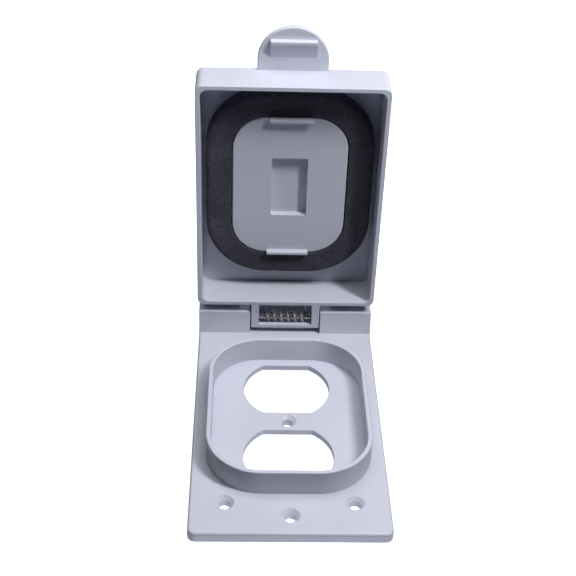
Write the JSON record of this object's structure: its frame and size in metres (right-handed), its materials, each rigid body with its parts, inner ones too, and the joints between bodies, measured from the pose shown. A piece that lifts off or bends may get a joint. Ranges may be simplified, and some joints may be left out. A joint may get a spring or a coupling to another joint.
{
  "type": "duplex receptacle cover",
  "caption": "Weatherproof flip-lid cover for a duplex receptacle: flat plate with collared outlet openings, countersunk holes and a spring hinge, lid standing open with its foam ring.",
  "frame": {"origin": "on the back face that seats on the box, at the axis of the centre screw between the two outlet openings", "axes": "+X across the width, +Y towards the hinge, +Z away from the box"},
  "size_m": [0.074, 0.1331, 0.1363],
  "materials": {
    "grey_pvc": "moulded, semi-matt",
    "black_foam": "closed-cell foam, matt",
    "stainless": "drawn",
    "spring_steel": "drawn"
  },
  "bodies": {
    "base": {"base_plate": "grey_pvc", "box_gasket": "black_foam", "hinge_pin": "stainless"},
    "lid": {"lid": "grey_pvc", "lid_gasket": "black_foam", "torsion_spring": "spring_steel"}
  },
  "joints": [
    {"name": "lid_hinge", "type": "hinge", "parent": "base", "child": "lid", "pos_m": [0, 0.0606, 0.0092], "axis": [1, 0, 0], "range_deg": [0, 90], "deforming": ["torsion_spring"]}
  ]
}
